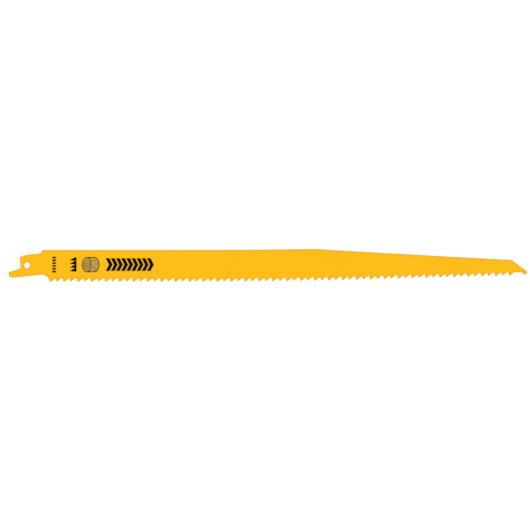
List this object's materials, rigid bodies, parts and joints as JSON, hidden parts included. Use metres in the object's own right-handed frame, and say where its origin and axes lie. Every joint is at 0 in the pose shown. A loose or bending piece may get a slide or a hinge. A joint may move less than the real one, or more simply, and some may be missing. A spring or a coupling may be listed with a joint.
{
  "type": "reciprocating saw blade",
  "caption": "Long tapered reciprocating saw blade for wood, with a hooked plunge nose, alternating set teeth and a universal tang with a locking-pin hole.",
  "frame": {"origin": "centre of the tang's locking-pin hole, halfway through the sheet", "axes": "+X along the blade from the tang towards the nose, +Y from the teeth towards the back edge, +Z through the sheet towards the printed face"},
  "size_m": [0.3156, 0.0203, 0.002],
  "materials": {
    "yellow_paint": "satin",
    "black_ink": "matt",
    "tan_ink": "matt"
  },
  "bodies": {
    "root": {"blade": "yellow_paint"}
  },
  "joints": []
}
